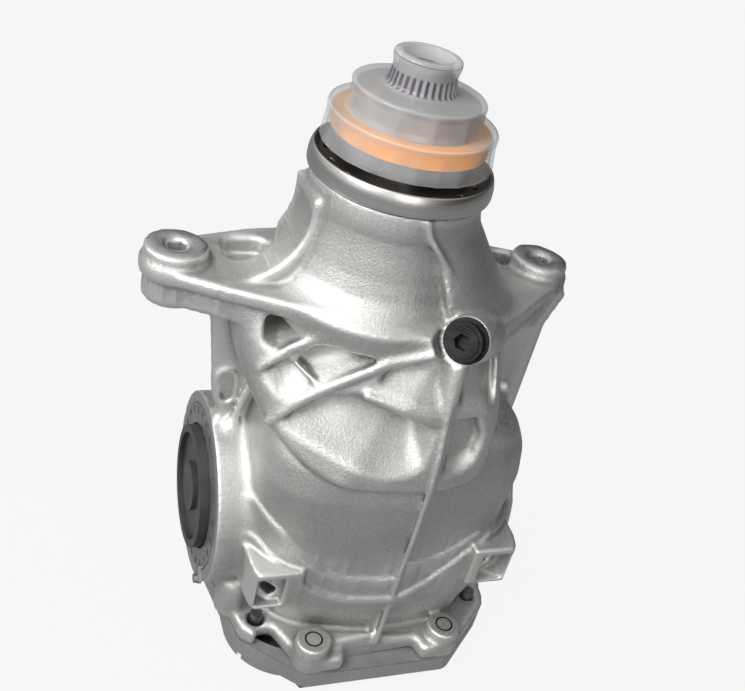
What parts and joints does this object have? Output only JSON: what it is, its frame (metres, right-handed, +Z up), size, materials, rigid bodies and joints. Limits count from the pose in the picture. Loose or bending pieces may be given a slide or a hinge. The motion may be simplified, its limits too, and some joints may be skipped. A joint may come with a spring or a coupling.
{
  "type": "rear differential",
  "caption": "Passenger-car rear differential in a ribbed aluminium housing, hypoid pinion and ring gear inside, plastic transport cap on the input and plugs in both outputs.",
  "frame": {"origin": "on the pinion axis, at the machined rest pads under the rear cover", "axes": "+Z up along the pinion axis towards the input end, X along the output shafts with the left output at -X, -Y towards the ribbed front"},
  "size_m": [0.2684, 0.208, 0.3984],
  "materials": {
    "cast_aluminium": "shot blasted casting",
    "machined_steel": "ground",
    "dark_steel": "turned",
    "bright_ring": "machined",
    "case_iron": "cast and turned",
    "clear_plastic": "milky translucent",
    "orange_plastic": "satin",
    "black_plastic": "satin",
    "seal_rubber": "moulded"
  },
  "bodies": {
    "casing": {"housing": "cast_aluminium", "rear_cover": "cast_aluminium", "cover_gasket": "seal_rubber", "locating_dowels": "dark_steel", "cover_bolts": "dark_steel", "pinion_head_bearing_cup": "machined_steel", "pinion_tail_bearing_cup": "machined_steel", "case_bearing_left_cup": "machined_steel", "case_bearing_right_cup": "machined_steel", "bearing_retainer_left": "bright_ring", "bearing_retainer_right": "bright_ring", "retainer_lock_left": "bright_ring", "retainer_lock_right": "bright_ring", "output_seal_left": "seal_rubber", "output_seal_right": "seal_rubber", "pinion_seal": "seal_rubber"},
    "pinion": {"pinion_shaft": "machined_steel", "pinion_head_bearing_cone": "machined_steel", "pinion_tail_bearing_cone": "machined_steel", "pinion_shim": "machined_steel", "crush_sleeve": "machined_steel", "input_flange": "machined_steel", "pinion_nut": "machined_steel", "dust_shield": "dark_steel"},
    "carrier": {"differential_case": "case_iron", "ring_gear": "machined_steel", "ring_gear_bolts": "dark_steel", "cross_pin": "machined_steel", "cross_pin_lock": "machined_steel", "case_bearing_left_cone": "machined_steel", "case_bearing_right_cone": "machined_steel", "side_washer_left": "machined_steel", "side_washer_right": "machined_steel", "spider_washer_upper": "machined_steel", "spider_washer_lower": "machined_steel"},
    "pinion_head_rollers": {"pinion_head_bearing_rollers": "machined_steel"},
    "pinion_tail_rollers": {"pinion_tail_bearing_rollers": "machined_steel"},
    "case_left_rollers": {"case_bearing_left_rollers": "machined_steel"},
    "case_right_rollers": {"case_bearing_right_rollers": "machined_steel"},
    "side_left": {"side_gear_left": "machined_steel"},
    "side_right": {"side_gear_right": "machined_steel"},
    "spider_upper": {"spider_gear_upper": "machined_steel"},
    "spider_lower": {"spider_gear_lower": "machined_steel"},
    "input_cap": {"transport_cap": "clear_plastic", "cap_liner": "orange_plastic"},
    "plug_left": {"output_plug_left": "black_plastic"},
    "plug_right": {"output_plug_right": "black_plastic"},
    "filler": {"filler_plug": "black_plastic"}
  },
  "joints": [
    {"name": "carrier_spin", "type": "hinge", "parent": "casing", "child": "carrier", "pos_m": [0, 0.01, 0.095], "axis": [1, 0, 0], "continuous": true},
    {"name": "pinion_spin", "type": "hinge", "parent": "casing", "child": "pinion", "pos_m": [0, 0, 0.2], "axis": [0, 0, 1], "continuous": true},
    {"name": "pinion_head_rollers_spin", "type": "hinge", "parent": "casing", "child": "pinion_head_rollers", "pos_m": [0, 0, 0.2], "axis": [0, 0, 1], "continuous": true},
    {"name": "pinion_tail_rollers_spin", "type": "hinge", "parent": "casing", "child": "pinion_tail_rollers", "pos_m": [0, 0, 0.278], "axis": [0, 0, 1], "continuous": true},
    {"name": "case_left_rollers_spin", "type": "hinge", "parent": "casing", "child": "case_left_rollers", "pos_m": [-0.046, 0.01, 0.095], "axis": [1, 0, 0], "continuous": true},
    {"name": "case_right_rollers_spin", "type": "hinge", "parent": "casing", "child": "case_right_rollers", "pos_m": [0.082, 0.01, 0.095], "axis": [1, 0, 0], "continuous": true},
    {"name": "side_left_spin", "type": "hinge", "parent": "carrier", "child": "side_left", "pos_m": [0.018, 0.01, 0.095], "axis": [1, 0, 0], "continuous": true},
    {"name": "side_right_spin", "type": "hinge", "parent": "carrier", "child": "side_right", "pos_m": [0.018, 0.01, 0.095], "axis": [1, 0, 0], "continuous": true},
    {"name": "spider_upper_spin", "type": "hinge", "parent": "carrier", "child": "spider_upper", "pos_m": [0.018, 0.01, 0.095], "axis": [0, 0, 1], "continuous": true},
    {"name": "spider_lower_spin", "type": "hinge", "parent": "carrier", "child": "spider_lower", "pos_m": [0.018, 0.01, 0.095], "axis": [0, 0, 1], "continuous": true},
    {"name": "input_cap_pull", "type": "slide", "parent": "pinion", "child": "input_cap", "axis": [0, 0, 1], "range_m": [0, 0.08]},
    {"name": "plug_left_pull", "type": "slide", "parent": "casing", "child": "plug_left", "axis": [-1, 0, 0], "range_m": [0, 0.06]},
    {"name": "plug_right_pull", "type": "slide", "parent": "casing", "child": "plug_right", "axis": [1, 0, 0], "range_m": [0, 0.06]},
    {"name": "filler_plug_pull", "type": "slide", "parent": "casing", "child": "filler", "axis": [-0.7202, -0.6302, 0.2901], "range_m": [0, 0.03]}
  ],
  "couplings": [
    {"joint": "pinion_spin", "follows": "carrier_spin", "ratio": -3.3636},
    {"joint": "pinion_head_rollers_spin", "follows": "carrier_spin", "ratio": -1.431},
    {"joint": "pinion_tail_rollers_spin", "follows": "carrier_spin", "ratio": -1.4373},
    {"joint": "case_left_rollers_spin", "follows": "carrier_spin", "ratio": 0.4388},
    {"joint": "case_right_rollers_spin", "follows": "carrier_spin", "ratio": 0.4388},
    {"joint": "side_right_spin", "follows": "side_left_spin", "ratio": -1},
    {"joint": "spider_upper_spin", "follows": "side_left_spin", "ratio": 1.6},
    {"joint": "spider_lower_spin", "follows": "side_left_spin", "ratio": -1.6}
  ]
}
